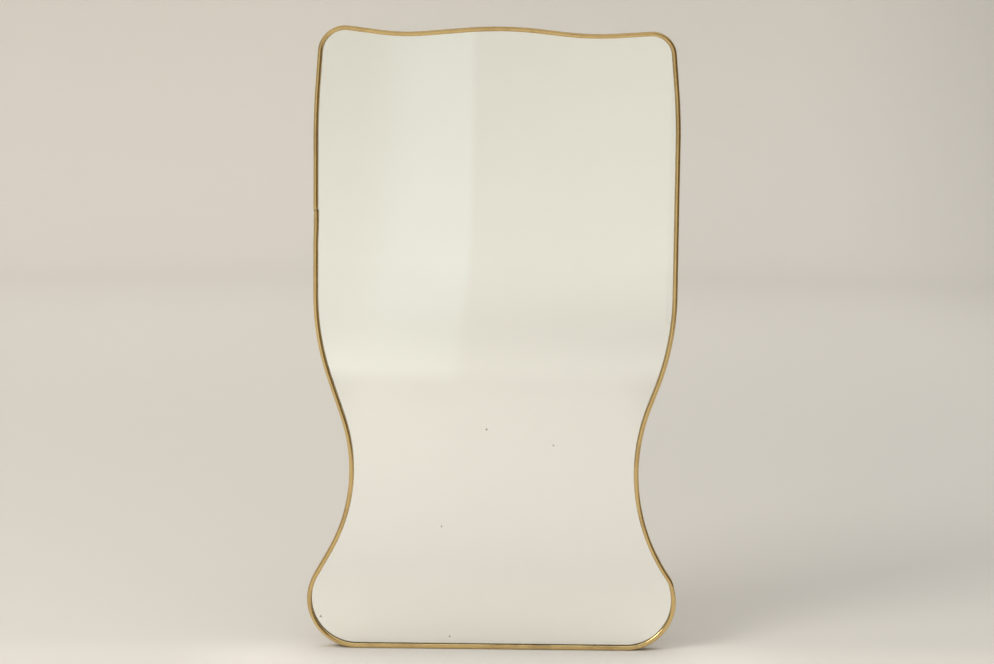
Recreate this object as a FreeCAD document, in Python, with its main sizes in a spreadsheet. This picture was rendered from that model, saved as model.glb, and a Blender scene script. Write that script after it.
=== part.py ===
"""Irregular wall mirror: a shield-like pane in a slim brass strip.

The pane lies on a sheet of lining paper on a plywood board. One brass strip with a bead-and-leg
section runs round all three, its bead lapping the edge of the glass and its leg screwed to the edge
of the board. Two strap hangers with swinging rings and two felt pads sit on the back.

Millimetres. +X is the viewer's right, +Z is up and the glass faces -Y. The origin is the middle of
the bounding box in plan, at the height of the lowest edge.
"""
import FreeCAD, Part
import math
import os
import Sketcher
from FreeCAD import Vector

doc = FreeCAD.newDocument("irregular_mirror")
dims = doc.addObject("Spreadsheet::Sheet", "dims")
sub_parts = []
names_in_sheet = []


def add_sizes(sizes):
    """Give each size, a number or a formula of earlier sizes, a cell under its own name."""
    for alias, value in sizes.items():
        names_in_sheet.append(alias)
        cell = f"B{len(names_in_sheet)}"
        dims.set(cell, str(value))
        dims.setAlias(cell, alias)
    dims.recompute()


def size(alias):
    """The number in the named cell."""
    return float(dims.get(alias))


# ---------------------------------------------------------------- outline
# The outer face of the brass strip, seen from the front, clockwise from the crown. Each bend is an
# arc: centre x, centre z, radius, and +1 where the mirror bulges or -1 where it is drawn in. The
# straight between two bends is the line that touches both.
BENDS = {
    "crown": (3.5, 295.0, 455.0, 1),
    "dip_right": (117.0, 1107.5, 365.0, -1),
    "corner_top_right": (182.5, 717.0, 29.0, 1),
    "side_right": (-487.0, 615.0, 705.0, 1),
    "shoulder_right": (-102.0, 432.0, 320.0, 1),
    "waist_right": (400.5, 219.5, 225.0, -1),
    "heel_right": (190.5, 73.0, 31.0, 1),
    "foot_right": (163.5, 60.0, 60.0, 1),
    "foot_left": (-163.0, 60.5, 60.5, 1),
    "waist_left": (-373.0, 218.5, 200.0, -1),
    "shoulder_left": (98.5, 431.5, 315.0, 1),
    "side_left": (708.5, 615.0, 925.0, 1),
    "corner_top_left": (-179.0, 717.0, 32.5, 1),
    "dip_left": (-108.0, 1003.0, 260.0, -1),
}
for bend, (centre_x, centre_z, radius, _) in BENDS.items():
    add_sizes({f"{bend}_x": centre_x, f"{bend}_z": centre_z, f"{bend}_radius": radius})

# The two ends of the strip meet on the upright straight that follows this bend.
SEAM_BEND = "shoulder_left"

# ---------------------------------------------------------------- depths
add_sizes({
    "lip_back": -10.0,       # y of the face of the glass, where the bead rests on it
    "glass_thick": 4.0,
    "paper_thick": 0.8,
    "board_thick": 12.0,
    "pad_thick": 6.0,
    "glass_back": "=lip_back + glass_thick",
    "paper_back": "=glass_back + paper_thick",
    "board_back": "=paper_back + board_thick",
    "board_middle": "=paper_back + board_thick / 2",
    "pad_back": "=board_back + pad_thick",
})


def new_body(label, expressions=None):
    """A body with its own label, its place bound to the sheet."""
    body = doc.addObject("PartDesign::Body", f"{label}_body")
    body.Label = label
    for axis, formula in (expressions or {}).items():
        body.setExpression(f"Placement.Base.{axis}", formula)
    return body


def new_sketch(body, name, role, offset=None):
    """A sketch on one of the body's own origin planes, moved along its normal by a formula."""
    sketch = body.newObject("Sketcher::SketchObject", name)
    plane = next(item for item in body.Origin.OriginFeatures if item.Role == role)
    sketch.AttachmentSupport = (plane, [""])
    sketch.MapMode = "FlatFace"
    if offset:
        sketch.setExpression("AttachmentOffset.Base.z", offset)
    return sketch


def bind(sketch, name, formula, *constraint):
    """Add a constraint whose value the sheet drives."""
    index = sketch.addConstraint(Sketcher.Constraint(*constraint))
    sketch.renameConstraint(index, name)
    sketch.setExpression(f"Constraints.{name}", formula)


def straight_normals():
    """Outward unit normal of the straight that follows each bend."""
    order = list(BENDS)
    normals = {}
    for bend, following in zip(order, order[1:] + order[:1]):
        x_from, z_from, radius_from, side_from = BENDS[bend]
        x_to, z_to, radius_to, side_to = BENDS[following]
        across, up = x_to - x_from, z_to - z_from
        growth = side_to * radius_to - side_from * radius_from
        squared = across ** 2 + up ** 2
        run = math.sqrt(squared - growth ** 2)
        along_x = (run * across - growth * up) / squared
        along_z = (growth * across + run * up) / squared
        normals[bend] = Vector(-along_z, along_x, 0)
    return normals


def draw_outline(sketch, inset=None, open_at_seam=False):
    """Draw the whole outline in a sketch, moved inward by the named inset."""
    order = list(BENDS)
    normals = straight_normals()
    move = size(inset) if inset else 0.0
    before, after, leaving, entering = {}, {}, {}, {}
    for index, bend in enumerate(order):
        x, z, radius, side = BENDS[bend]
        centre = Vector(x, z, 0)
        reach = side * radius - move
        before[bend] = centre + normals[order[index - 1]] * reach
        after[bend] = centre + normals[bend] * reach
        first, last = (after, before) if side > 0 else (before, after)
        leaving[bend], entering[bend] = (1, 2) if side > 0 else (2, 1)
        start, end = first[bend] - centre, last[bend] - centre
        start_angle = math.atan2(start.y, start.x)
        end_angle = math.atan2(end.y, end.x)
        if end_angle < start_angle:
            end_angle += 2 * math.pi
        circle = Part.Circle(centre, Vector(0, 0, 1), abs(reach))
        arc = sketch.addGeometry(Part.ArcOfCircle(circle, start_angle, end_angle))
        bind(sketch, f"{bend}_x", f"dims.{bend}_x", "DistanceX", -1, 1, arc, 3, x)
        bind(sketch, f"{bend}_z", f"dims.{bend}_z", "DistanceY", -1, 1, arc, 3, z)
        formula = f"dims.{bend}_radius"
        if inset:
            formula += f" - dims.{inset}" if side > 0 else f" + dims.{inset}"
        bind(sketch, f"{bend}_radius", formula, "Radius", arc, abs(reach))
    for index, bend in enumerate(order):
        following = (index + 1) % len(order)
        out_of = (index, leaving[bend])
        into = (following, entering[order[following]])
        if open_at_seam and bend == SEAM_BEND:
            edge_x = after[bend].x
            lower = Vector(edge_x, size("seam_low"), 0)
            upper = Vector(edge_x, size("seam_high"), 0)
            below = sketch.addGeometry(Part.LineSegment(after[bend], lower))
            above = sketch.addGeometry(Part.LineSegment(upper, before[order[following]]))
            for constraint in (("Tangent", *out_of, below, 1), ("Vertical", below),
                               ("Tangent", above, 2, *into), ("Vertical", above)):
                sketch.addConstraint(Sketcher.Constraint(*constraint))
            bind(sketch, "seam_low", "dims.seam_low", "DistanceY", -1, 1, below, 2, lower.y)
            bind(sketch, "seam_high", "dims.seam_high", "DistanceY", -1, 1, above, 1, upper.y)
            continue
        line = sketch.addGeometry(Part.LineSegment(after[bend], before[order[following]]))
        sketch.addConstraint([Sketcher.Constraint("Tangent", *out_of, line, 1),
                              Sketcher.Constraint("Tangent", line, 2, *into)])


def thicken(body, sketch, thickness, both_ways=False):
    """Pad a sketch along its normal, which is towards the front in the XZ plane."""
    pad = body.newObject("PartDesign::Pad", f"{sketch.Name}_pad")
    pad.Profile = sketch
    pad.SideType = "Symmetric" if both_ways else "One side"
    pad.setExpression("Length", thickness)
    return pad


def sheet_of_outline(label, back, thickness, inset):
    """A flat piece with the mirror's outline, its back face at the named depth."""
    body = new_body(label, {"y": back})
    sketch = new_sketch(body, f"{label}_outline", "XZ_Plane")
    draw_outline(sketch, inset)
    thicken(body, sketch, thickness)
    return body


# ---------------------------------------------------------------- fixing stations
# A screw goes in square to the outline at each of these bends, where the outward normal stands at
# this angle to +X: 90 is straight up, 180 is the viewer's left.
STATIONS = [
    ("crown", 90), ("dip_right", 90), ("corner_top_right", 45), ("side_right", 0),
    ("shoulder_right", -8), ("waist_right", -10), ("waist_right", 16), ("foot_right", -20),
    ("foot_right", 270), ("foot_left", 270), ("foot_left", 200), ("waist_left", 164),
    ("waist_left", 190), ("shoulder_left", 188), ("side_left", 180), ("corner_top_left", 135),
    ("dip_left", 90),
]
add_sizes({
    "screw_shank_radius": 1.25,
    "screw_long": 16.0,
    "screw_sunk": 0.1,       # the head lies this far below the brass
    "screw_play": 0.05,      # round the shank
    "sink_radius": 2.65,     # mouth of the countersink
    "pilot_radius": "=screw_shank_radius + screw_play",
    "pilot_deep": "=screw_long + 2 * screw_sunk",
    "seam_height": 531.5,
    "seam_gap": 0.2,
    "seam_low": "=seam_height - seam_gap / 2",
    "seam_high": "=seam_height + seam_gap / 2",
    "seam_screw_reach": 10.0,
    "bead_radius": 2.8,      # half-round bead, 5.6 wide
    "leg_thick": 1.5,
    "leg_deep": "=board_back - lip_back",
    "side_left_edge": "=shoulder_left_x - shoulder_left_radius",
})


def screw_places():
    """Where each frame screw enters the outer face: x and z as formulas, and the normal's angle.

    Two more screws hold the seam, and one the middle of the straight lower edge.
    """
    places = []
    for bend, angle in STATIONS:
        sign = "+" if BENDS[bend][3] > 0 else "-"
        places.append((f"dims.{bend}_x {sign} dims.{bend}_radius * cos({angle})",
                       f"dims.{bend}_z {sign} dims.{bend}_radius * sin({angle})", angle))
    for sign in ("-", "+"):
        places.append(("dims.side_left_edge", f"dims.seam_height {sign} dims.seam_screw_reach", 180))
    places.append(("0", "0", 270))
    return places


def aim(item, outward, place):
    """Turn an object's +Z to a direction and bind its place to formulas of the sheet."""
    item.Placement = FreeCAD.Placement(Vector(), FreeCAD.Rotation(Vector(0, 0, 1), outward))
    for axis, formula in place.items():
        item.setExpression(f"Placement.Base.{axis}", formula)


def drill_from_edge(body, depth, shape, sizes):
    """Cut one hole at every frame screw, square to the outline."""
    for number, (x, z, angle) in enumerate(screw_places(), start=1):
        inward = Vector(-math.cos(math.radians(angle)), 0, -math.sin(math.radians(angle)))
        hole = body.newObject(f"PartDesign::Subtractive{shape}", f"{body.Label}_hole_{number}")
        aim(hole, inward, {"x": x, "y": depth, "z": z})
        for name, formula in sizes.items():
            hole.setExpression(name, formula)


# ---------------------------------------------------------------- brass_frame
# One brass strip bent round the whole outline. Its section is a half-round bead whose inner half
# laps the glass, on a thin leg that covers the edges of glass and board. Every screw hole is
# countersunk through the whole leg.
frame = new_body("brass_frame", {"y": "dims.lip_back"})
path = new_sketch(frame, "frame_path", "XZ_Plane")
draw_outline(path, open_at_seam=True)

section = new_sketch(frame, "frame_section", "XY_Plane", "dims.seam_high")
edge_x = size("side_left_edge")
bead_radius = size("bead_radius")
leg_x = edge_x + size("leg_thick")
leg_deep = size("leg_deep")
bead_centre = Vector(edge_x + bead_radius, 0, 0)
bead_circle = Part.Circle(bead_centre, Vector(0, 0, 1), bead_radius)
corners = [Vector(edge_x + 2 * bead_radius, 0, 0), Vector(leg_x, 0, 0), Vector(leg_x, leg_deep, 0),
           Vector(edge_x, leg_deep, 0), Vector(edge_x, 0, 0)]
BEAD, LIP, INNER, REAR, OUTER = range(5)
section.addGeometry(Part.ArcOfCircle(bead_circle, math.pi, 2 * math.pi))
for start, end in zip(corners, corners[1:]):
    section.addGeometry(Part.LineSegment(start, end))
for constraint in (("Coincident", BEAD, 2, LIP, 1), ("Coincident", LIP, 2, INNER, 1),
                   ("Coincident", INNER, 2, REAR, 1), ("Coincident", REAR, 2, OUTER, 1),
                   ("Coincident", OUTER, 2, BEAD, 1), ("Horizontal", LIP), ("Vertical", INNER),
                   ("Horizontal", REAR), ("Vertical", OUTER), ("PointOnObject", BEAD, 3, -1),
                   ("PointOnObject", OUTER, 2, -1)):
    section.addConstraint(Sketcher.Constraint(*constraint))
bind(section, "edge", "dims.side_left_edge", "DistanceX", -1, 1, OUTER, 2, edge_x)
bind(section, "bead", "dims.bead_radius", "Radius", BEAD, bead_radius)
bind(section, "leg", "dims.leg_thick", "DistanceX", REAR, 2, REAR, 1, size("leg_thick"))
bind(section, "deep", "dims.leg_deep", "DistanceY", OUTER, 2, OUTER, 1, leg_deep)

strip = frame.newObject("PartDesign::AdditivePipe", "frame_strip")
strip.Profile = section
strip.Spine = path
strip.Mode = "Binormal"
strip.Binormal = Vector(0, 1, 0)
drill_from_edge(frame, "dims.board_middle - dims.lip_back", "Cone", {
    "Radius1": "dims.sink_radius",
    "Radius2": "dims.pilot_radius",
    "Height": "dims.leg_thick",
})
sub_parts.append(frame)


# ---------------------------------------------------------------- seam_splice
# A flat brass plate let into the edge of the board behind the seam. One screw on each side of the
# seam goes through strip and plate.
add_sizes({
    "splice_thick": 1.0,
    "splice_wide": 10.0,
    "splice_long": 40.0,
    "splice_face": "=side_left_edge + leg_thick",
})


def draw_rectangle(sketch, wide, tall):
    """A rectangle centred on the sketch's origin, its sides the named sizes."""
    half_wide, half_tall = size(wide) / 2, size(tall) / 2
    corners = [Vector(x, y, 0) for x, y in ((-half_wide, -half_tall), (half_wide, -half_tall),
                                            (half_wide, half_tall), (-half_wide, half_tall))]
    low, right, top, left = [sketch.addGeometry(Part.LineSegment(start, end))
                             for start, end in zip(corners, corners[1:] + corners[:1])]
    for constraint in (("Coincident", low, 2, right, 1), ("Coincident", right, 2, top, 1),
                       ("Coincident", top, 2, left, 1), ("Coincident", left, 2, low, 1),
                       ("Horizontal", low), ("Horizontal", top), ("Vertical", right),
                       ("Vertical", left), ("Symmetric", low, 1, top, 1, -1, 1)):
        sketch.addConstraint(Sketcher.Constraint(*constraint))
    bind(sketch, "wide", f"dims.{wide}", "DistanceX", low, 1, low, 2, 2 * half_wide)
    bind(sketch, "tall", f"dims.{tall}", "DistanceY", right, 1, right, 2, 2 * half_tall)


def draw_circle(sketch, radius, height=None, sign=1):
    """A circle of the named radius on the sketch's upright axis, at a signed height."""
    place = sign * size(height) if height else 0.0
    circle = sketch.addGeometry(Part.Circle(Vector(0, place, 0), Vector(0, 0, 1), size(radius)))
    sketch.addConstraint(Sketcher.Constraint("PointOnObject", circle, 3, -2))
    bind(sketch, f"radius_{circle}", f"dims.{radius}", "Radius", circle, size(radius))
    if height:
        bind(sketch, f"height_{circle}", f"{sign} * dims.{height}",
             "DistanceY", -1, 1, circle, 3, place)
    else:
        sketch.addConstraint(Sketcher.Constraint("PointOnObject", circle, 3, -1))


splice = new_body("seam_splice", {
    "x": "dims.splice_face", "y": "dims.board_middle", "z": "dims.seam_height"})
plate = new_sketch(splice, "splice_plate", "YZ_Plane")
draw_rectangle(plate, "splice_wide", "splice_long")
for sign in (-1, 1):
    draw_circle(plate, "pilot_radius", "seam_screw_reach", sign)
thicken(splice, plate, "dims.splice_thick")
sub_parts.append(splice)

# ---------------------------------------------------------------- back_board
# A 12 mm plywood board cut to the outline. It carries the screws of the strip in its edge and those
# of the hangers in its back, and it is notched for the splice plate.
add_sizes({
    "board_inset": 1.7,
    "notch_play": 0.2,
    "hanger_screw_shank": 1.5,
    "hanger_pilot_radius": "=hanger_screw_shank + screw_play",
    "hanger_pilot_deep": 11.0,
    "hanger_x": 118.0,
    "hanger_z": 610.0,
    "strap_screw_first": 22.0,
    "strap_screw_second": 33.0,
})
board = sheet_of_outline("back_board", "dims.board_back", "dims.board_thick", "board_inset")
doc.recompute()
drill_from_edge(board, "-dims.board_thick / 2", "Cylinder", {
    "Radius": "dims.pilot_radius",
    "Height": "dims.pilot_deep",
})
notch = board.newObject("PartDesign::SubtractiveBox", "splice_notch")
for name, formula in {
        "Length": "dims.leg_thick + dims.splice_thick + dims.notch_play",
        "Width": "dims.board_thick",
        "Height": "dims.splice_long + 2 * dims.notch_play",
        "Placement.Base.x": "dims.side_left_edge",
        "Placement.Base.y": "-dims.board_thick",
        "Placement.Base.z": "dims.seam_height - dims.splice_long / 2 - dims.notch_play"}.items():
    notch.setExpression(name, formula)
for side in ("-", "+"):
    for row in ("first", "second"):
        pilot = board.newObject("PartDesign::SubtractiveCylinder", "hanger_pilot")
        aim(pilot, Vector(0, -1, 0), {
            "x": f"{side}dims.hanger_x", "z": f"dims.hanger_z - dims.strap_screw_{row}"})
        pilot.setExpression("Radius", "dims.hanger_pilot_radius")
        pilot.setExpression("Height", "dims.hanger_pilot_deep")
sub_parts.append(board)

# ---------------------------------------------------------------- backing_paper
# A sheet of grey lining paper between board and silvering.
add_sizes({"glass_inset": 2.5})
sub_parts.append(sheet_of_outline(
    "backing_paper", "dims.paper_back", "dims.paper_thick", "glass_inset"))

# ---------------------------------------------------------------- mirror_glass
# A 4 mm silvered pane, cut 1 mm clear of the leg all round so that the bead hides its edge.
sub_parts.append(sheet_of_outline(
    "mirror_glass", "dims.glass_back", "dims.glass_thick", "glass_inset"))

# ---------------------------------------------------------------- blocks and shims
# Two cork blocks carry the lower edge of the pane, and four shims centre it between the upright
# sides. Each fills the gap between the pane's edge and the leg.
add_sizes({
    "packing_thick": "=glass_inset - leg_thick",
    "packing_gap": 0.2,      # to the bead in front and the paper behind
    "packing_wide": "=glass_thick - 2 * packing_gap",
    "packing_start": "=lip_back + packing_gap",
    "block_long": 30.0,
    "block_apart": 200.0,
    "shim_long": 25.0,
    "shim_low": 470.0,
    "shim_high": 580.0,
    "side_right_edge": "=shoulder_right_x + shoulder_right_radius",
})


def packing(name, length, height, x, z):
    """A flat slip of cork: its run in x and z, and the place of its lower left corner."""
    slip = doc.addObject("Part::Box", name)
    slip.Label = name
    for item, formula in {
            "Length": length, "Width": "dims.packing_wide", "Height": height,
            "Placement.Base.x": x, "Placement.Base.y": "dims.packing_start",
            "Placement.Base.z": z}.items():
        slip.setExpression(item, formula)
    return slip


for side, middle in (("left", "-dims.block_apart / 2"), ("right", "dims.block_apart / 2")):
    sub_parts.append(packing(
        f"setting_block_{side}", "dims.block_long", "dims.packing_thick",
        f"{middle} - dims.block_long / 2", "dims.leg_thick"))

shim_faces = {"left": "dims.side_left_edge + dims.leg_thick",
              "right": "dims.side_right_edge - dims.glass_inset"}
shims = [packing(f"shim_{side}_{level}", "dims.packing_thick", "dims.shim_long", face,
                 f"dims.shim_{level} - dims.shim_long / 2")
         for side, face in shim_faces.items() for level in ("low", "high")]
shim_group = doc.addObject("Part::Compound", "edge_shims_group")
shim_group.Label = "edge_shims"
shim_group.Links = shims
sub_parts.append(shim_group)

# ---------------------------------------------------------------- hangers
# Each hanger is a steel strap whose upper end is rolled round the straight bar of a D-shaped wire
# ring. The ring hangs down over the strap and swings out and up.
add_sizes({
    "ring_wire_radius": 1.3,
    "ring_play": 0.08,       # running clearance in the rolled eye
    "ring_half_wide": 9.5,
    "ring_corner": 2.6,
    "ring_leg": 5.0,
    "ring_bar_half": "=ring_half_wide - ring_corner",
    "strap_thick": 1.2,
    "strap_wide": 12.0,
    "strap_long": 39.0,
    "strap_end_radius": 5.0,
    "strap_hole_play": 0.2,
    "strap_hole_radius": "=hanger_screw_shank + strap_hole_play",
    "eye_radius": "=ring_wire_radius + ring_play",
    "eye_outer": "=eye_radius + strap_thick",
    "eye_lip_angle": 70.0,   # slope of the roll's cut end, in degrees
})


def draw_strap_side(sketch):
    """Side view of the strap: y is away from the board, z is up, and the eye is at z = 0."""
    outer, inner, thick = size("eye_outer"), size("eye_radius"), size("strap_thick")
    long = size("strap_long")
    slope = math.radians(size("eye_lip_angle"))
    centre = Vector(outer, 0, 0)
    towards_lip = Vector(-math.cos(slope), -math.sin(slope), 0)
    rolls = [Part.ArcOfCircle(Part.Circle(centre, Vector(0, 0, 1), radius),
                              slope - math.pi, math.pi) for radius in (outer, inner)]
    back, roll, lip, bore, front, end = [sketch.addGeometry(item) for item in (
        Part.LineSegment(Vector(0, -long, 0), Vector()),
        rolls[0],
        Part.LineSegment(centre + towards_lip * outer, centre + towards_lip * inner),
        rolls[1],
        Part.LineSegment(Vector(thick, 0, 0), Vector(thick, -long, 0)),
        Part.LineSegment(Vector(thick, -long, 0), Vector(0, -long, 0)))]
    for constraint in (("Coincident", back, 2, roll, 2), ("Coincident", roll, 1, lip, 1),
                       ("Coincident", lip, 2, bore, 1), ("Coincident", bore, 2, front, 1),
                       ("Coincident", front, 2, end, 1), ("Coincident", end, 2, back, 1),
                       ("Coincident", roll, 3, bore, 3), ("Coincident", back, 2, -1, 1),
                       ("Vertical", back), ("Vertical", front), ("Horizontal", end),
                       ("PointOnObject", roll, 3, -1), ("PointOnObject", bore, 2, -1),
                       ("PointOnObject", roll, 3, lip)):
        sketch.addConstraint(Sketcher.Constraint(*constraint))
    bind(sketch, "outer", "dims.eye_outer", "Radius", roll, outer)
    bind(sketch, "inner", "dims.eye_radius", "Radius", bore, inner)
    bind(sketch, "long", "dims.strap_long", "DistanceY", back, 1, back, 2, long)
    bind(sketch, "lip", "dims.eye_lip_angle * 1 deg", "Angle", lip, slope)


def draw_ring(sketch):
    """The wire's centre line: a straight bar on top, two legs and a half circle."""
    half, corner, leg = size("ring_half_wide"), size("ring_corner"), size("ring_leg")
    axis = Vector(0, 0, 1)
    bar, bend_right, leg_right, bow, leg_left, bend_left = [sketch.addGeometry(item) for item in (
        Part.LineSegment(Vector(corner - half, 0, 0), Vector(half - corner, 0, 0)),
        Part.ArcOfCircle(Part.Circle(Vector(half - corner, -corner, 0), axis, corner),
                         0, math.pi / 2),
        Part.LineSegment(Vector(half, -corner, 0), Vector(half, -leg, 0)),
        Part.ArcOfCircle(Part.Circle(Vector(0, -leg, 0), axis, half), math.pi, 2 * math.pi),
        Part.LineSegment(Vector(-half, -leg, 0), Vector(-half, -corner, 0)),
        Part.ArcOfCircle(Part.Circle(Vector(corner - half, -corner, 0), axis, corner),
                         math.pi / 2, math.pi))]
    for constraint in (("Tangent", bar, 2, bend_right, 2), ("Tangent", bend_right, 1, leg_right, 1),
                       ("Tangent", leg_right, 2, bow, 2), ("Tangent", bow, 1, leg_left, 1),
                       ("Tangent", leg_left, 2, bend_left, 2), ("Tangent", bend_left, 1, bar, 1),
                       ("PointOnObject", bar, 1, -1), ("PointOnObject", bar, 2, -1),
                       ("PointOnObject", bow, 3, -2), ("Vertical", leg_right),
                       ("Vertical", leg_left), ("Equal", bend_left, bend_right)):
        sketch.addConstraint(Sketcher.Constraint(*constraint))
    bind(sketch, "half_wide", "dims.ring_half_wide", "Radius", bow, half)
    bind(sketch, "corner", "dims.ring_corner", "Radius", bend_right, corner)
    bind(sketch, "leg", "dims.ring_leg", "DistanceY", bow, 3, -1, 1, leg)


def hanger_strap(side, sign):
    """The strap: its side view padded to its width, the free end rounded, two screw holes."""
    strap = new_body(f"hanger_strap_{side}", {
        "x": f"{sign}dims.hanger_x", "y": "dims.board_back", "z": "dims.hanger_z"})
    profile = new_sketch(strap, f"strap_side_{side}", "YZ_Plane")
    draw_strap_side(profile)
    plate = thicken(strap, profile, "dims.strap_wide", both_ways=True)
    doc.recompute()
    ends = [f"Edge{number}" for number, edge in enumerate(plate.Shape.Edges, start=1)
            if abs(edge.BoundBox.ZMax - plate.Shape.BoundBox.ZMin) < 0.001
            and edge.BoundBox.XLength < 0.001]
    rounding = strap.newObject("PartDesign::Fillet", f"strap_end_{side}")
    rounding.Base = (plate, ends)
    rounding.setExpression("Radius", "dims.strap_end_radius")
    holes = new_sketch(strap, f"strap_holes_{side}", "XZ_Plane")
    for row in ("first", "second"):
        draw_circle(holes, "strap_hole_radius", f"strap_screw_{row}", -1)
    pocket = strap.newObject("PartDesign::Pocket", f"strap_screws_{side}")
    pocket.Profile = holes
    pocket.Type = "ThroughAll"
    return strap


def hanger_ring(side, sign):
    """The ring: round wire swept along its centre line, from the end of the bar."""
    ring = new_body(f"hanger_ring_{side}", {
        "x": f"{sign}dims.hanger_x", "y": "dims.board_back + dims.eye_outer",
        "z": "dims.hanger_z"})
    line = new_sketch(ring, f"ring_line_{side}", "XZ_Plane")
    draw_ring(line)
    wire = new_sketch(ring, f"ring_wire_{side}", "YZ_Plane", "dims.ring_bar_half")
    draw_circle(wire, "ring_wire_radius")
    sweep = ring.newObject("PartDesign::AdditivePipe", f"ring_sweep_{side}")
    sweep.Profile = wire
    sweep.Spine = line
    return ring


for side, sign in (("left", "-"), ("right", "")):
    sub_parts += [hanger_strap(side, sign), hanger_ring(side, sign)]

# ---------------------------------------------------------------- screws
# Slotted wood screws, modelled without thread: countersunk brass ones in the strip, steel ones with
# a pan head in the hangers. Each kind is drawn once, point down, and repeated.
add_sizes({
    "screw_head_radius": 2.4,
    "screw_head_deep": 1.4,
    "screw_point_start": 13.0,
    "pan_top_radius": 2.3,
    "pan_radius": 3.0,
    "pan_edge_deep": 0.7,
    "pan_deep": 1.7,
    "hanger_point_start": 10.0,
    "hanger_screw_long": 12.5,
    "slot_wide": 0.6,
    "slot_deep": 0.5,
})


def screw_body(name, head_radius, corners):
    """A slotted screw on the z axis, its head's outer face at z = 0; corners are radius and depth."""
    body = new_body(name)
    sketch = new_sketch(body, f"{name}_half", "XZ_Plane")
    points = [Vector(size(radius) if radius else 0, -size(depth) if depth else 0, 0)
              for radius, depth in corners]
    lines = [sketch.addGeometry(Part.LineSegment(start, end))
             for start, end in zip(points, points[1:] + points[:1])]
    for line, following in zip(lines, lines[1:] + lines[:1]):
        sketch.addConstraint(Sketcher.Constraint("Coincident", line, 2, following, 1))
    for line, (radius, depth) in zip(lines, corners):
        if radius:
            bind(sketch, f"radius_{line}", f"dims.{radius}", "DistanceX", -1, 1, line, 1, size(radius))
        else:
            sketch.addConstraint(Sketcher.Constraint("PointOnObject", line, 1, -2))
        if depth:
            bind(sketch, f"depth_{line}", f"dims.{depth}", "DistanceY", line, 1, -1, 1, size(depth))
        else:
            sketch.addConstraint(Sketcher.Constraint("PointOnObject", line, 1, -1))
    turn = body.newObject("PartDesign::Revolution", f"{name}_turned")
    turn.Profile = sketch
    turn.ReferenceAxis = (sketch, ["V_Axis"])
    slot = body.newObject("PartDesign::SubtractiveBox", f"{name}_slot")
    for item, formula in {
            "Length": f"2 * dims.{head_radius}", "Width": "dims.slot_wide",
            "Height": "dims.slot_deep", "Placement.Base.x": f"-dims.{head_radius}",
            "Placement.Base.y": "-dims.slot_wide / 2",
            "Placement.Base.z": "-dims.slot_deep"}.items():
        slot.setExpression(item, formula)
    return body


def repeat_screw(label, screw, places):
    """One node of equal screws; each place is an outward direction and formulas for x, y and z."""
    group = doc.addObject("Part::Compound", f"{label}_group")
    group.Label = label
    links = []
    for number, (outward, place) in enumerate(places, start=1):
        link = doc.addObject("App::Link", f"{label}_{number}")
        link.LinkedObject = screw
        aim(link, outward, place)
        turned = FreeCAD.Rotation(Vector(0, 0, 1), SLOT_TURN * number)
        link.Placement.Rotation = link.Placement.Rotation.multiply(turned)
        links.append(link)
    group.Links = links
    return group


SLOT_TURN = 137.5            # degrees from one slot to the next, so that no two line up
frame_screw = screw_body("frame_screw", "screw_head_radius", [
    (None, None), ("screw_head_radius", None), ("screw_shank_radius", "screw_head_deep"),
    ("screw_shank_radius", "screw_point_start"), (None, "screw_long")])
frame_places = []
for x, z, angle in screw_places():
    outward = Vector(math.cos(math.radians(angle)), 0, math.sin(math.radians(angle)))
    frame_places.append((outward, {
        "x": f"{x} - dims.screw_sunk * cos({angle})", "y": "dims.board_middle",
        "z": f"{z} - dims.screw_sunk * sin({angle})"}))
sub_parts.append(repeat_screw("frame_screws", frame_screw, frame_places))

hanger_screw = screw_body("hanger_screw", "pan_radius", [
    (None, None), ("pan_top_radius", None), ("pan_radius", "pan_edge_deep"),
    ("pan_radius", "pan_deep"), ("hanger_screw_shank", "pan_deep"),
    ("hanger_screw_shank", "hanger_point_start"), (None, "hanger_screw_long")])
for side, sign in (("left", "-"), ("right", "")):
    sub_parts.append(repeat_screw(f"hanger_screws_{side}", hanger_screw, [
        (Vector(0, 1, 0), {
            "x": f"{sign}dims.hanger_x",
            "y": "dims.board_back + dims.strap_thick + dims.pan_deep",
            "z": f"dims.hanger_z - dims.strap_screw_{row}"}) for row in ("first", "second")]))

# ---------------------------------------------------------------- wall pads
# Two round felt pads glued low on the board keep the frame off the wall and hold the mirror
# parallel to it.
add_sizes({"pad_x": 150.0, "pad_z": 45.0, "pad_radius": 12.0})
for side, sign in (("left", "-"), ("right", "")):
    pad = new_body(f"wall_pad_{side}", {
        "x": f"{sign}dims.pad_x", "y": "dims.pad_back", "z": "dims.pad_z"})
    disc = new_sketch(pad, f"pad_disc_{side}", "XZ_Plane")
    draw_circle(disc, "pad_radius")
    thicken(pad, disc, "dims.pad_thick")
    sub_parts.append(pad)

# ---------------------------------------------------------------- check and write
doc.recompute()
failed = [item.Label for item in doc.Objects if {"Invalid", "Error"} & set(item.State)]
if failed:
    raise RuntimeError(f"these objects failed: {failed}")
for part in sub_parts:
    if part.Shape.isNull() or not part.Shape.isValid():
        raise RuntimeError(f"{part.Label} has no valid shape")
os.makedirs("parts", exist_ok=True)
for part in sub_parts:
    part.Shape.exportStep(f"parts/{part.Label}.step")
    print(f"{part.Label}: {len(part.Shape.Solids)} solid(s), {part.Shape.Volume:.0f} mm3")
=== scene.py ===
"""Irregular wall mirror in a slim brass strip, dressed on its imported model."""
import math
import bmesh
import bpy
import numpy as np
from mathutils import Matrix, Vector


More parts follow.
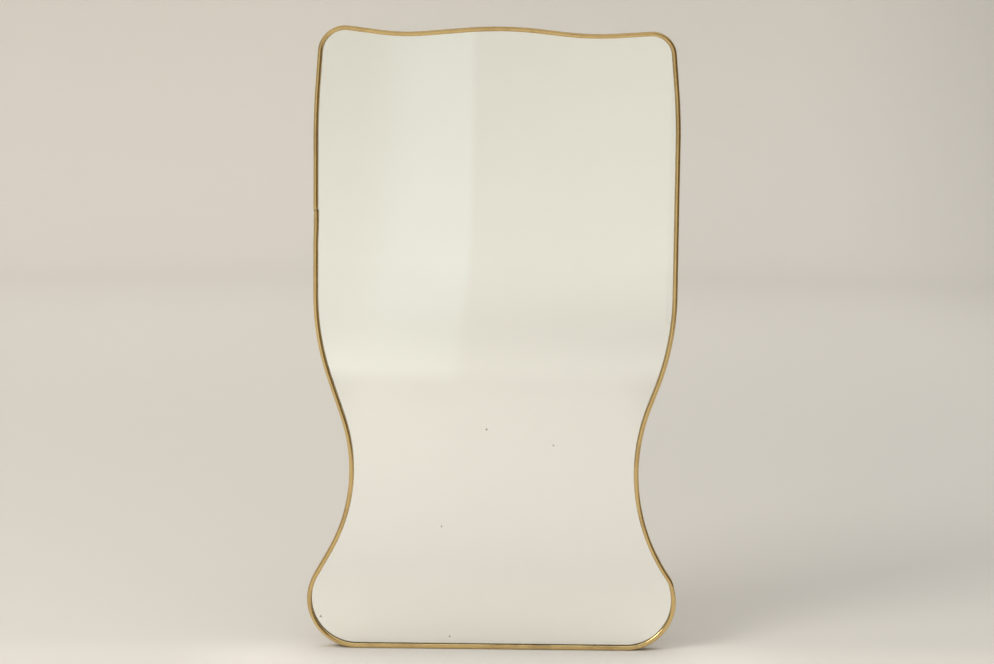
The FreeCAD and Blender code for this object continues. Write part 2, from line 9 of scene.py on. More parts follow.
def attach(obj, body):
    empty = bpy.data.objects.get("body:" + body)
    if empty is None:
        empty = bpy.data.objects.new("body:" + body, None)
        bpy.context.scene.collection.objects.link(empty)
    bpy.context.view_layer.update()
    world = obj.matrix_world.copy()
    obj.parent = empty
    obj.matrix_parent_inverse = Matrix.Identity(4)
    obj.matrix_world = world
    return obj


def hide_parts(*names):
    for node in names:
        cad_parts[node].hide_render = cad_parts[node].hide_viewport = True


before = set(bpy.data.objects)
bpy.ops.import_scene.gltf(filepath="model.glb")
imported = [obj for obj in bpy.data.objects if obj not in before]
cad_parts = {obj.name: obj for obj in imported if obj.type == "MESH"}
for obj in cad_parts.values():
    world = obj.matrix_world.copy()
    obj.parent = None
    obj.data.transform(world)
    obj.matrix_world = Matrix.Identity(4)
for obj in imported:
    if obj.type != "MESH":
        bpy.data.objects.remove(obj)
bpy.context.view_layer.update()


class Field:
    """A number or colour that varies over a surface; arithmetic on it adds Math nodes."""

    def __init__(self, paint, socket):
        self.paint, self.socket = paint, socket

    def math(self, operation, *others):
        """A Math node on this field and what follows."""
        return self.paint.node("ShaderNodeMath", {"operation": operation}, self, *others)

    def __add__(self, other):
        return self.math("ADD", other)

    __radd__ = __add__

    def __sub__(self, other):
        return self.math("SUBTRACT", other)

    def __rsub__(self, other):
        return self.paint.node("ShaderNodeMath", {"operation": "SUBTRACT"}, other, self)

    def __mul__(self, other):
        return self.math("MULTIPLY", other)

    def __truediv__(self, other):
        return self.math("DIVIDE", other)

    def away_from(self, place):
        """How far this number is from a value."""
        return (self - place).math("ABSOLUTE")

    def rise(self, low, high):
        """0 at low, 1 at high, with a soft step between; low may be the larger."""
        return self.paint.node("ShaderNodeMapRange", {"interpolation_type": "SMOOTHSTEP"},
                               self, low, high, 0.0, 1.0)


class Paint:
    """A new material with one Principled surface."""

    def __init__(self, name, constants):
        self.material = bpy.data.materials.new(name)
        self.material.use_nodes = True
        self.tree = self.material.node_tree
        self.surface = self.tree.nodes["Principled BSDF"]
        for socket, value in constants.items():
            self.surface.inputs[socket].default_value = value

    def vary(self, **fields):
        """Link varying values to the surface, by socket name with _ for a space."""
        for name, field in fields.items():
            self.tree.links.new(field.socket, self.surface.inputs[name.replace("_", " ")])

    def node(self, kind, settings, *values, out=0):
        """Any node: its settings first, then its sockets in order; None leaves one alone."""
        made = self.tree.nodes.new(kind)
        for name, value in settings.items():
            setattr(made, name, value)
        for target, value in zip([item for item in made.inputs if item.enabled], values):
            if isinstance(value, Field):
                self.tree.links.new(value.socket, target)
            elif value is not None:
                target.default_value = value
        return Field(self, [item for item in made.outputs if item.enabled][out])

    def place(self, stretch=(1, 1, 1), uv=None):
        """Object coordinates in metres, or a UV map, stretched for a pattern."""
        if uv:
            source = self.node("ShaderNodeUVMap", {"uv_map": uv})
        else:
            source = self.node("ShaderNodeTexCoord", {}, out=3)
        return self.node("ShaderNodeMapping", {}, source, None, None, stretch)

    def axis(self, number, uv=None):
        """One coordinate in metres."""
        return self.node("ShaderNodeSeparateXYZ", {}, self.place(uv=uv), out=number)

    def noise(self, place, scale, detail=4.0, roughness=0.55, distortion=0.0):
        """Soft noise about 0.5; scale is in cycles for each metre."""
        return self.node("ShaderNodeTexNoise", {},
                         place, scale, detail, roughness, None, distortion)

    def cells(self, place, scale):
        """Distance to the nearest of many scattered points, in cells."""
        return self.node("ShaderNodeTexVoronoi", {}, place, scale)

    def mix(self, share, low, high):
        """A colour between two."""
        low, high = [(*item, 1.0) if isinstance(item, tuple) else item for item in (low, high)]
        return self.node("ShaderNodeMix", {"data_type": "RGBA"}, share, low, high)

    def bump(self, height, distance, strength=1.0):
        """Raise the surface by height, 0 to 1, times a distance in metres."""
        return self.node("ShaderNodeBump", {}, strength, distance, None, height)


def dress(node, paint):
    """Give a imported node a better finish."""
    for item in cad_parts[node].material_slots:
        item.material = paint.material


def oiled_birch():
    """Rotary-cut veneer: broad flames from stretched noise, fine pores, a little blotching."""
    wood = Paint("oiled birch veneer", {"Specular IOR Level": 0.35})
    flame = wood.noise(wood.place((1.0, 1.0, 0.13)), 26.0, 3.0, 0.5, 1.6)
    flame = (flame * 9.0).math("FRACT").away_from(0.5) * 2.0
    blotch = wood.noise(wood.place((1.0, 1.0, 0.5)), 9.0, 3.0)
    pores = wood.noise(wood.place((1.0, 1.0, 0.03)), 1500.0, 2.0, 0.6)
    colour = wood.mix(flame * 0.55 + blotch * 0.4, (0.47, 0.315, 0.175), (0.60, 0.43, 0.26))
    colour = wood.mix(pores.rise(0.52, 0.72) * 0.55, colour, (0.25, 0.15, 0.075))
    scuff = wood.noise(wood.place((1.0, 1.0, 1.0)), 14.0, 6.0, 0.7).rise(0.60, 0.72)
    colour = wood.mix(scuff * 0.3, colour, (0.66, 0.52, 0.36))
    depth = wood.axis(1)
    sawn = (depth * 420.0).math("FRACT").rise(0.45, 0.55) * depth.rise(0.0066, 0.0064)
    colour = wood.mix(sawn * 0.5, colour, (0.30, 0.19, 0.10))
    wood.vary(Base_Color=colour, Roughness=0.62 - flame * 0.1 + scuff * 0.12,
              Normal=wood.bump(pores + flame * 0.3, 0.00006))
    return wood


dress("back_board", oiled_birch())

# ---------------------------------------------------------------- lining paper
# A sheet of grey sugar paper keeps the silvering off the wood. It is laid loose and hidden once the
# pane is in.


def sugar_paper():
    """Grey pulp: cloudy tone with short dark and light fibres."""
    paper = Paint("sugar paper", {"Roughness": 0.9, "Specular IOR Level": 0.2})
    fibres = paper.noise(paper.place((1.0, 1.0, 0.35)), 1100.0, 3.0, 0.7)
    cloud = paper.noise(paper.place(), 30.0, 3.0)
    colour = paper.mix(fibres * 0.7 + cloud * 0.3, (0.14, 0.125, 0.10), (0.25, 0.23, 0.2))
    paper.vary(Base_Color=colour, Normal=paper.bump(fibres, 0.00004))
    return paper


dress("backing_paper", sugar_paper())

# ---------------------------------------------------------------- mirror pane
# A 4 mm silvered pane. Its face is ground flat and polished but not perfectly even, its edge is
# arrissed and hidden, and age has left a few specks in the silvering.

# The outer face of the strip as seen from the front, clockwise from the seam: for each bend its
# centre x, centre z and radius in metres, and 1 where the mirror bulges or -1 where it draws in.
BENDS = np.array([
    (0.7085, 0.6150, 0.9250, 1),      # upper left side
    (-0.1790, 0.7170, 0.0325, 1),     # top left corner
    (-0.1080, 1.0030, 0.2600, -1),    # dip left of the crown
    (0.0035, 0.2950, 0.4550, 1),      # crown
    (0.1170, 1.1075, 0.3650, -1),     # dip right of the crown
    (0.1825, 0.7170, 0.0290, 1),      # top right corner
    (-0.4870, 0.6150, 0.7050, 1),     # upper right side
    (-0.1020, 0.4320, 0.3200, 1),     # right shoulder
    (0.4005, 0.2195, 0.2250, -1),     # right side of the waist
    (0.1905, 0.0730, 0.0310, 1),      # right heel
    (0.1635, 0.0600, 0.0600, 1),      # right foot
    (-0.1630, 0.0605, 0.0605, 1),     # left foot
    (-0.3730, 0.2185, 0.2000, -1),    # left side of the waist
    (0.0985, 0.4315, 0.3150, 1),      # left shoulder
])
SEAM_HEIGHT = 0.5315
SEAM_GAP = 0.0002
ROUND_STEP = 0.0012
GLASS_INSET = 0.0025
GLASS_FRONT = -0.00998
GLASS_BACK = -0.00602
ARRIS = 0.0004


def walk_round(step):
    """Points and outward normals of the outer face, from the seam clockwise back to the seam.

    A bend's point is its centre plus its signed radius times the normal, whose angle goes evenly
    from one straight's to the next's. Each straight touches two bends: along it the gap between
    the centres is split into a run and the growth of the signed radius, at right angles.
    """
    centre, reach = BENDS[:, :2], BENDS[:, 2] * BENDS[:, 3]
    gap = np.roll(centre, -1, axis=0) - centre
    growth = np.roll(reach, -1) - reach
    squared = (gap ** 2).sum(axis=1)
    run = np.sqrt(squared - growth ** 2)
    along = np.stack([run * gap[:, 0] - growth * gap[:, 1],
                      growth * gap[:, 0] + run * gap[:, 1]], axis=1) / squared[:, None]
    after = np.arctan2(along[:, 0], -along[:, 1])
    before = np.roll(after, 1)
    turn = (after - before + math.pi) % (2 * math.pi) - math.pi
    seam_x = centre[-1, 0] - reach[-1]
    seam_normal = np.array([[-1.0, 0.0]])
    points, normals = [np.array([[seam_x, SEAM_HEIGHT + SEAM_GAP / 2]])], [seam_normal]
    for middle, radius, start, angle in zip(centre, reach, before, turn):
        count = max(3, math.ceil(abs(radius * angle) / step) + 1)
        heading = start + np.linspace(0.0, angle, count)
        outward = np.stack([np.cos(heading), np.sin(heading)], axis=1)
        first = middle + radius * outward[0]
        count = max(2, math.ceil(np.linalg.norm(first - points[-1][-1]) / (3 * step)))
        share = np.linspace(0.0, 1.0, count + 1)[1:-1, None]
        points += [points[-1][-1] * (1 - share) + first * share, middle + radius * outward]
        normals += [np.repeat(outward[:1], len(share), axis=0), outward]
    last = np.array([seam_x, SEAM_HEIGHT - SEAM_GAP / 2])
    share = np.linspace(0.0, 1.0, 40)[1:, None]
    points.append(points[-1][-1] * (1 - share) + last * share)
    normals.append(np.repeat(seam_normal, len(share), axis=0))
    return np.concatenate(points), np.concatenate(normals)


def new_piece(name, mesh, body=None):
    """Put a finished mesh in the scene, on a body if one is given."""
    piece = bpy.data.objects.new(name, mesh)
    bpy.context.scene.collection.objects.link(piece)
    if body:
        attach(piece, body)
    return piece


def sweep(name, rows, caps=False, across=None, along=None):
    """A surface through a grid of points: each row is one closed section, joined to the next.

    The face (i, j) has corners (i, j), (i + 1, j), (i + 1, j + 1), (i, j + 1), j wrapping round.
    along and across, in metres, become a UV map named strip.
    """
    count, width = rows.shape[:2]
    i, j = np.meshgrid(np.arange(count - 1), np.arange(width), indexing="ij")
    k = (j + 1) % width
    quads = np.stack([i * width + j, (i + 1) * width + j, (i + 1) * width + k, i * width + k],
                     axis=-1).reshape(-1, 4)
    ends = [list(range(width)), list(range((count - 1) * width, count * width))[::-1]]
    mesh = bpy.data.meshes.new(name)
    mesh.from_pydata(rows.reshape(-1, 3), [], quads.tolist() + (ends if caps else []))
    if along is not None:
        u, v = along[i], across[j]
        u_next, v_next = along[i + 1], across[j + 1]
        corner = np.stack([np.stack([u, v], -1), np.stack([u_next, v], -1),
                           np.stack([u_next, v_next], -1), np.stack([u, v_next], -1)], axis=2)
        flat = corner.reshape(-1, 2)
        layer = mesh.uv_layers.new(name="strip")
        values = np.zeros((len(mesh.loops), 2))
        values[:len(flat)] = flat
        layer.data.foreach_set("uv", values.ravel())
    mesh.shade_smooth()
    return mesh


outer_face, outward = walk_round(ROUND_STEP)
run_along = np.concatenate([[0.0], np.cumsum(np.linalg.norm(np.diff(outer_face, axis=0), axis=1))])
strip_length = float(run_along[-1])


def mirror_pane():
    """Front and back faces inside the outline, an upright edge and a small arris at each corner."""
    levels = [(GLASS_INSET + ARRIS, GLASS_BACK), (GLASS_INSET, GLASS_BACK - ARRIS),
              (GLASS_INSET, GLASS_FRONT + ARRIS), (GLASS_INSET + ARRIS, GLASS_FRONT)]
    rings = []
    for inset, depth in levels:
        edge = outer_face - outward * inset
        rings.append(np.stack([edge[:, 0], np.full(len(edge), depth), edge[:, 1]], axis=1))
    mesh = sweep("mirror_pane", np.stack(rings), caps=True)
    mesh.polygons.foreach_set("use_smooth", np.zeros(len(mesh.polygons), dtype=bool))
    return mesh


def float_glass():
    """Clear glass with a trace of green, its face faintly uneven, with a few wipe marks."""
    glass = Paint("float glass", {"Transmission Weight": 1.0, "IOR": 1.5,
                                  "Base Color": (0.985, 0.995, 0.985, 1.0)})
    wave = glass.noise(glass.place((1.0, 1.0, 0.6)), 5.0, 1.0, 0.3)
    wiped = glass.noise(glass.place((0.5, 1.0, 1.6)), 16.0, 5.0, 0.7).rise(0.56, 0.8)
    glass.vary(Roughness=wiped * 0.012, Normal=glass.bump(wave, 0.0006))
    return glass


# Specks in the silvering where they are seen on the real one: x, z and radius in metres.
SPECKS = [(-0.0082, 0.2696, 0.0016), (0.0725, 0.2510, 0.0012), (-0.0613, 0.1504, 0.0014),
          (-0.0505, 0.0146, 0.0014), (-0.2071, 0.0377, 0.0018)]


def silvering():
    """Bright silver, faintly clouded, with age specks and pinholes."""
    silver = Paint("silvering", {"Metallic": 1.0})
    x, z = silver.axis(0), silver.axis(2)
    grain = silver.noise(silver.place(), 900.0, 3.0, 0.7)
    spots = None
    for speck_x, speck_z, radius in SPECKS:
        across, up = (x - speck_x) / radius, (z - speck_z) / radius
        far = (across * across + up * up) + grain * 1.6
        spot = far.rise(1.9, 0.9)
        spots = spot if spots is None else spots.math("MAXIMUM", spot)
    pinholes = silver.cells(silver.place(), 26.0).rise(0.012, 0.006) \
        * silver.noise(silver.place(), 7.0, 2.0).rise(0.55, 0.6)
    cloud = silver.noise(silver.place(), 4.0, 3.0, 0.6)
    colour = silver.mix(cloud, (0.93, 0.925, 0.90), (0.965, 0.965, 0.945))
    colour = silver.mix(pinholes.math("MAXIMUM", spots) * 0.75, colour, (0.30, 0.25, 0.19))
    silver.vary(Base_Color=colour, Roughness=spots * 0.35)
    return silver


pane = new_piece("mirror_pane", mirror_pane(), "mirror")
pane.data.materials.append(float_glass().material)
pane.data.materials.append(silvering().material)
rear_face = pane.data.polygons[len(pane.data.polygons) - 2]
rear_face.material_index = 1
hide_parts("mirror_glass")

# ---------------------------------------------------------------- cork packing
# Slips of cork carry the pane and centre it in the strip. They are cut with a knife and pushed in
# dry, out of sight behind the bead.


def cut_cork():
    """Cork: packed cells with dark gaps, light and dark grains."""
    cork = Paint("cut cork", {"Roughness": 0.85, "Specular IOR Level": 0.25})
    grains = cork.cells(cork.place(), 900.0)
    tone = cork.noise(cork.place(), 350.0, 3.0)
    colour = cork.mix(tone, (0.30, 0.17, 0.08), (0.48, 0.30, 0.16))
    cork.vary(Base_Color=cork.mix(grains.rise(0.45, 0.7), colour, (0.14, 0.07, 0.03)),
              Normal=cork.bump(1.0 - grains, 0.0001))
    return cork


cork = cut_cork()
for node in ("setting_block_left", "setting_block_right", "edge_shims"):
    dress(node, cork)

# ---------------------------------------------------------------- brass strip
# One solid brass section, half-round in front and a thin leg behind, bent by hand round board and
# pane and closed with a butt seam on the left. It was polished once and has mellowed unevenly.
BEAD_RADIUS = 0.0028
LEG_THICK = 0.0015
LIP_BACK = -0.0100
LEG_BACK = 0.0068
PAPER_FRONT = -0.0052
STRIP_ROUND = 0.0002

# What the hand left on the bead: its lean below the seam, how far down it keeps it and over what
# length it comes back; how deep and how far the seam is filed; and the depth of the flats, each
# kind with its pitch, its start in radians and its share.
LEAN = 0.0008
LEAN_KEPT = 0.012
LEAN_RETURN = 0.028
FILED_DEPTH = 0.00025
FILED_REACH = 0.0015
FLAT_DEPTH = 0.00007
FLATS = ((0.047, 0.3, 0.45), (0.031, 1.9, 0.3), (0.083, 4.0, 0.25))

# Places on the section, measured round it from the rear outer corner.
CROWN_AROUND = 0.0212
CREASE_AROUND = 0.02555

# Countersinks: their radius at the outer face and inside, and the depth at which they lie. A screw
# stands square to a bend, counted as above, where the outward normal has this angle in degrees
# from the viewer's right.
SINK_RADIUS = 0.00265
PILOT_RADIUS = 0.0013
SCREW_DEPTH = 0.0008
SCREWS_ON_BENDS = [(3, 90), (4, 90), (5, 45), (6, 0), (7, -8), (8, -10), (8, 16), (10, -20),
                   (10, 270), (11, 270), (11, 200), (12, 164), (12, 190), (13, 188), (0, 180),
                   (1, 135), (2, 90)]
SEAM_SCREWS = (SEAM_HEIGHT - 0.010, SEAM_HEIGHT + 0.010)
FOOT_SCREW_X = 0.0


def arc(centre, radius, start, end, count):
    """Points on a circle from one angle in degrees to another."""
    angle = np.radians(np.linspace(start, end, count))
    return centre + radius * np.stack([np.cos(angle), np.sin(angle)], axis=1)


def strip_section():
    """The section as inset and depth, from the rear outer corner over the bead and back."""
    r = STRIP_ROUND
    return np.concatenate([
        arc(np.array([r, LEG_BACK - r]), r, 90, 180, 4),
        np.stack([np.zeros(5), np.linspace(LEG_BACK - 0.003, LIP_BACK + 0.001, 5)], axis=1),
        arc(np.array([BEAD_RADIUS, LIP_BACK]), BEAD_RADIUS, 180, 356, 30),
        np.array([[2 * BEAD_RADIUS - r, LIP_BACK], [LEG_THICK, LIP_BACK],
                  [LEG_THICK, (LIP_BACK + PAPER_FRONT) / 2], [LEG_THICK, PAPER_FRONT]]),
        arc(np.array([LEG_THICK - r, LEG_BACK - r]), r, 0, 90, 4)])


def brass_strip():
    """The section carried round the outline, with the slight flats that hand bending leaves.

    Below the seam the bead leans in a little and comes back out over the next few centimetres.
    """
    section, run = strip_section(), run_along
    loop = np.concatenate([section, section[:1]])
    around = np.concatenate([[0.0], np.cumsum(np.linalg.norm(np.diff(loop, axis=0), axis=1))])
    flats = sum(np.sin(run * 2 * math.pi / pitch + phase) * share for pitch, phase, share in FLATS)
    below_seam = strip_length - run
    filed = np.exp(-(np.minimum(run, below_seam) / FILED_REACH) ** 2)
    worn = FLAT_DEPTH * (1 + flats) + FILED_DEPTH * filed
    back_out = np.clip((below_seam - LEAN_KEPT) / LEAN_RETURN, 0, 1)
    lean = LEAN * (0.5 + 0.5 * np.cos(math.pi * back_out))
    in_front = np.clip((PAPER_FRONT - section[:, 1]) / (PAPER_FRONT - LIP_BACK), 0, 1)
    on_bead = (section[:, 1] < LIP_BACK + 1e-6) & (section[:, 0] < 2 * BEAD_RADIUS - 1e-5)
    towards_crown = np.where(on_bead, (LIP_BACK - section[:, 1]) / BEAD_RADIUS, 0.0)
    inset = section[None, :, 0] + 0.6 * worn[:, None] * on_bead * (section[:, 0] < BEAD_RADIUS) \
        + lean[:, None] * in_front
    depth = section[None, :, 1] + worn[:, None] * towards_crown
    rows = np.stack([outer_face[:, None, 0] - outward[:, None, 0] * inset, depth,
                     outer_face[:, None, 1] - outward[:, None, 1] * inset], axis=-1)
    return sweep("brass_strip", rows[::-1], caps=True, across=around, along=run[::-1])


def countersinks():
    """One cone for each screw: rings of points square to its normal, closed at both ends."""
    places = [(BENDS[bend, :2] + BENDS[bend, 2] * BENDS[bend, 3]
               * np.array([math.cos(math.radians(angle)), math.sin(math.radians(angle))]), angle)
              for bend, angle in SCREWS_ON_BENDS]
    places += [(np.array([outer_face[0, 0], height]), 180) for height in SEAM_SCREWS]
    places.append((np.array([FOOT_SCREW_X, 0.0]), 270))
    slope = (SINK_RADIUS - PILOT_RADIUS) / LEG_THICK
    over = 0.0003  # how far a cone stands out of the leg on both sides
    ring = np.radians(np.linspace(0, 360, 41))[:-1]
    points, faces = [], []
    for (x, z), angle in places:
        normal = np.array([math.cos(math.radians(angle)), 0.0, math.sin(math.radians(angle))])
        side = np.array([-normal[2], 0.0, normal[0]])
        start = len(points) * 2 * len(ring)
        rings = [np.array([x, SCREW_DEPTH, z]) - normal * deep + radius * (
            np.cos(ring)[:, None] * side + np.sin(ring)[:, None] * np.array([0.0, 1.0, 0.0]))
            for deep, radius in ((-over, SINK_RADIUS + slope * over),
                                 (LEG_THICK + over, PILOT_RADIUS - slope * over))]
        points.append(np.concatenate(rings))
        near = start + np.arange(len(ring))
        far = near + len(ring)
        faces += np.stack([near, np.roll(near, -1), np.roll(far, -1), far], axis=1).tolist()
        faces += [near[::-1].tolist(), far.tolist()]
    mesh = bpy.data.meshes.new("countersinks")
    mesh.from_pydata(np.concatenate(points), [], faces)
    return mesh


def baked(piece, sharp):
    """Replace a piece's mesh by what its modifiers make of it, with edges sharper than an angle."""
    view = bpy.context.evaluated_depsgraph_get()
    piece.data = bpy.data.meshes.new_from_object(piece.evaluated_get(view))
    piece.modifiers.clear()
    piece.data.set_sharp_from_angle(angle=math.radians(sharp))


def mellow_brass():
    """Brass along a strip: drawn lines, patches of tarnish, dirt where it meets the glass."""
    brass = Paint("mellow brass", {"Metallic": 1.0})
    run, around = brass.axis(0, uv="strip"), brass.axis(1, uv="strip")
    lines = brass.noise(brass.place((14.0, 5200.0, 1.0), uv="strip"), 1.0, 3.0, 0.6)
    patches = brass.noise(brass.place(), 24.0, 4.0, 0.6)
    blotch = brass.noise(brass.place(), 190.0, 4.0, 0.65)
    rubbed = around.away_from(CROWN_AROUND).rise(0.0042, 0.0012)
    colour = brass.mix(blotch * 0.5 + patches * 0.5, (0.60, 0.425, 0.18), (0.84, 0.635, 0.30))
    tarnish = patches.rise(0.50, 0.66) * (1.0 - rubbed * 0.55) + blotch.rise(0.58, 0.72) * 0.35
    colour = brass.mix(tarnish * 0.6, colour, (0.34, 0.20, 0.085))
    crease = around.away_from(CREASE_AROUND).rise(0.0011, 0.0003)
    dirt = crease.math("MAXIMUM", around.rise(0.0016, 0.0002)) * (blotch * 0.8 + 0.45)
    seam = run.rise(0.0012, 0.0003) + run.rise(strip_length - 0.0012, strip_length - 0.0003)
    colour = brass.mix(dirt * 0.15, colour, (0.20, 0.13, 0.065))
    colour = brass.mix(seam * blotch * 1.2, colour, (0.22, 0.15, 0.08))
    brass.vary(Base_Color=colour, Roughness=0.13 + lines * 0.10 + tarnish * 0.16 + dirt * 0.3,
               Normal=brass.bump(lines + blotch * 0.5, 0.00002, 0.6))
    return brass


strip = new_piece("brass_strip", brass_strip(), "mirror")
cutter = new_piece("countersinks", countersinks())
holes = strip.modifiers.new("countersinks", "BOOLEAN")
holes.object = cutter
baked(strip, 35)
bpy.data.objects.remove(cutter)
strip.data.materials.clear()
strip.data.materials.append(mellow_brass().material)
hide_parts("brass_frame")

# ---------------------------------------------------------------- seam splice and strip screws
# A milled brass strap bridges the butt seam from inside the strip. Twenty slotted brass screws go
# through the strip into the edge of the board, and their heads have dulled with handling.


def dull_brass(name, rough):
    """Cut brass: soft blotches, a little brown in the hollows of the noise, fine scratches."""
    brass = Paint(name, {"Metallic": 1.0})
    blotch = brass.noise(brass.place(), 420.0, 4.0, 0.65)
    scratch = brass.noise(brass.place((1.0, 0.08, 1.0)), 2600.0, 2.0, 0.6)
    colour = brass.mix(blotch, (0.46, 0.30, 0.12), (0.80, 0.57, 0.28))
    colour = brass.mix(blotch.rise(0.46, 0.30) * 0.7, colour, (0.16, 0.095, 0.045))
    brass.vary(Base_Color=colour, Roughness=rough + blotch * 0.15 + scratch * 0.08,
               Normal=brass.bump(scratch, 0.00001, 0.5))
    return brass


dress("seam_splice", dull_brass("milled brass", 0.25))
dress("frame_screws", dull_brass("dull screw brass", 0.3))

# ---------------------------------------------------------------- hangers
# Two zinc-plated steel straps, each bent from one blank with an eye rolled at its top, are screwed
# flat on the board. Their edges are tumbled and the zinc has clouded; the screws are yellow zinc.


def eased_copy(node, edge, paint):
    """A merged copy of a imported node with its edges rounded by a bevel, put in its place."""
    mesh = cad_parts[node].data.copy()
    work = bmesh.new()
    work.from_mesh(mesh)
    bmesh.ops.remove_doubles(work, verts=work.verts, dist=1e-6)
    bmesh.ops.dissolve_limit(work, angle_limit=math.radians(1), verts=work.verts, edges=work.edges)
    work.to_mesh(mesh)
    work.free()
    piece = new_piece(f"{node}_eased", mesh, "mirror")
    eased = piece.modifiers.new("eased", "BEVEL")
    eased.width, eased.segments, eased.limit_method = edge, 2, "ANGLE"
    eased.angle_limit = math.radians(40)
    baked(piece, 30)
    piece.data.materials.clear()
    piece.data.materials.append(paint.material)
    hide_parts(node)


def zinc_plate(name, light, dark, scale, clouding):
    """Clouded zinc: soft spangle cells, white bloom, a few scratches and brown specks."""
    zinc = Paint(name, {"Metallic": 1.0})
    spangle = zinc.cells(zinc.place(), scale)
    cloud = zinc.noise(zinc.place(), 130.0, 5.0, 0.65)
    scratch = zinc.noise(zinc.place((1.0, 1.0, 0.06)), 3000.0, 2.0, 0.5)
    bloom = cloud.rise(0.52, 0.70)
    colour = zinc.mix(spangle * 0.7 + cloud * 0.4, dark, light)
    colour = zinc.mix(bloom * clouding, colour, (0.62, 0.62, 0.59))
    colour = zinc.mix(zinc.noise(zinc.place(), 700.0, 3.0).rise(0.68, 0.76) * 0.8,
                      colour, (0.22, 0.12, 0.06))
    zinc.vary(Base_Color=colour, Roughness=0.3 + bloom * 0.22 + scratch * 0.1,
              Normal=zinc.bump(cloud + scratch * 0.4, 0.00003))
    return zinc


strap_zinc = zinc_plate("clouded zinc", (0.52, 0.52, 0.50), (0.32, 0.32, 0.31), 330.0, 0.3)
screw_zinc = zinc_plate("yellow screw zinc", (0.86, 0.74, 0.45), (0.60, 0.48, 0.25), 900.0, 0.15)
for side in ("left", "right"):
    eased_copy(f"hanger_strap_{side}", 0.00018, strap_zinc)
    eased_copy(f"hanger_screws_{side}", 0.00015, screw_zinc)

# ---------------------------------------------------------------- hanger rings
# Each ring is bent from drawn steel wire, butted inside the eye and nickel plated. It hangs down
# over its strap, and swings out and up until it stands above the eye.
ring_wire = zinc_plate("nickelled wire", (0.80, 0.77, 0.71), (0.58, 0.55, 0.50), 1400.0, 0.15)
for side in ("left", "right"):
    dress(f"hanger_ring_{side}", ring_wire)

# ---------------------------------------------------------------- felt pads
# Two discs punched from thick grey wool felt are glued low on the board. Their edges are a little
# rounded and uneven from the punch.
PAD_PLACES = {"left": -0.150, "right": 0.150}
PAD_HEIGHT = 0.045
PAD_RADIUS = 0.012
PAD_BACK = 0.0128
PAD_EDGE = 0.0014
PAD_HUB = 0.0006


def felt_disc(name, centre_x):
    """Rings round the disc's axis: each point's radius waves slightly with its angle."""
    r = PAD_EDGE
    profile = np.concatenate([
        np.array([[PAD_HUB, LEG_BACK], [0.006, LEG_BACK], [PAD_RADIUS - 0.0003, LEG_BACK]]),
        arc(np.array([PAD_RADIUS - r, PAD_BACK - r]), r, 0, 90, 7),
        np.array([[0.007, PAD_BACK], [0.003, PAD_BACK], [PAD_HUB, PAD_BACK]])])
    angle = np.linspace(0, 2 * math.pi, 97)[:-1]
    wave = 0.004 * np.sin(5 * angle + centre_x * 40) + 0.003 * np.sin(17 * angle + 1.3) - 0.007
    radius = profile[:, None, 0] * (1 + wave * (profile[:, None, 0] / PAD_RADIUS) ** 3)
    depth = np.broadcast_to(profile[:, None, 1], radius.shape)
    rows = np.stack([centre_x + radius * np.cos(angle), depth,
                     PAD_HEIGHT + radius * np.sin(angle)], axis=-1)
    return sweep(name, rows, caps=True)


def wool_felt():
    """Felt: matted fibres as stretched noise crossing itself, mottled grey, soft sheen."""
    felt = Paint("wool felt", {"Roughness": 0.95, "Specular IOR Level": 0.1, "Sheen Weight": 0.35})
    matted = felt.noise(felt.place((1.0, 1.0, 0.3)), 1800.0, 4.0, 0.75, 0.8)
    crossed = felt.noise(felt.place((0.3, 1.0, 1.0)), 1700.0, 4.0, 0.75, 0.8)
    colour = felt.mix(matted * 0.5 + crossed * 0.5, (0.11, 0.10, 0.085), (0.33, 0.31, 0.27))
    felt.vary(Base_Color=colour, Normal=felt.bump(matted + crossed, 0.0003))
    return felt


felt = wool_felt()
for side, centre_x in PAD_PLACES.items():
    pad = new_piece(f"felt_disc_{side}", felt_disc(f"felt_disc_{side}", centre_x), "mirror")
    pad.data.set_sharp_from_angle(angle=math.radians(50))
    pad.data.materials.append(felt.material)
    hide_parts(f"wall_pad_{side}")

# ---------------------------------------------------------------- studio
# The mirror stands on a pale painted cove that runs all round it, in soft light from above and from
# the left, and light and shade are also painted into the cove's colour. Only bare metal mirrors a
# dark sheet right of the camera, which paints shade into the brass, and a glowing sheet overhead,
# which paints a reflection of a ceiling into it.
COVE_FLOOR = 4.6
COVE_ROUND = 1.4
COVE_HEIGHT = 4.2
# The dark sheet that paints shade into the brass: its line on the floor and its height.
SHADE_SHEET_LINE = [(0.45, -3.3), (1.5, -3.0), (2.4, -2.4), (2.4, 0.3)]
SHADE_SHEET_HEIGHT = 2.8
# The glowing sheet that paints a reflection into the brass: its height, its reach each way and its
# glow.
GLOW_SHEET_HEIGHT = 3.0
GLOW_SHEET_REACH = 4.5
GLOW_SHEET_STRENGTH = 0.62
SKY_GLOW = 1.5
LAMP_PLACE = (-2.6, -2.2, 2.6)
LAMP_AIM = (0.0, 0.0, 0.35)


def cove():
    """Rings round the upright axis: flat floor, a quarter round, then a plain wall."""
    bend = arc(np.array([COVE_FLOOR, COVE_ROUND]), COVE_ROUND, -90, 0, 25)
    profile = np.concatenate([
        np.stack([np.linspace(0.0, COVE_FLOOR, 30)[:-1], np.zeros(29)], axis=1), bend,
        [[COVE_FLOOR + COVE_ROUND, COVE_HEIGHT]]])
    angle = np.linspace(0, 2 * math.pi, 181)[:-1]
    rows = np.stack([profile[:, None, 0] * np.cos(angle), profile[:, None, 0] * np.sin(angle),
                     np.broadcast_to(profile[:, None, 1], (len(profile), len(angle)))], axis=-1)
    return sweep("cove", rows[::-1])


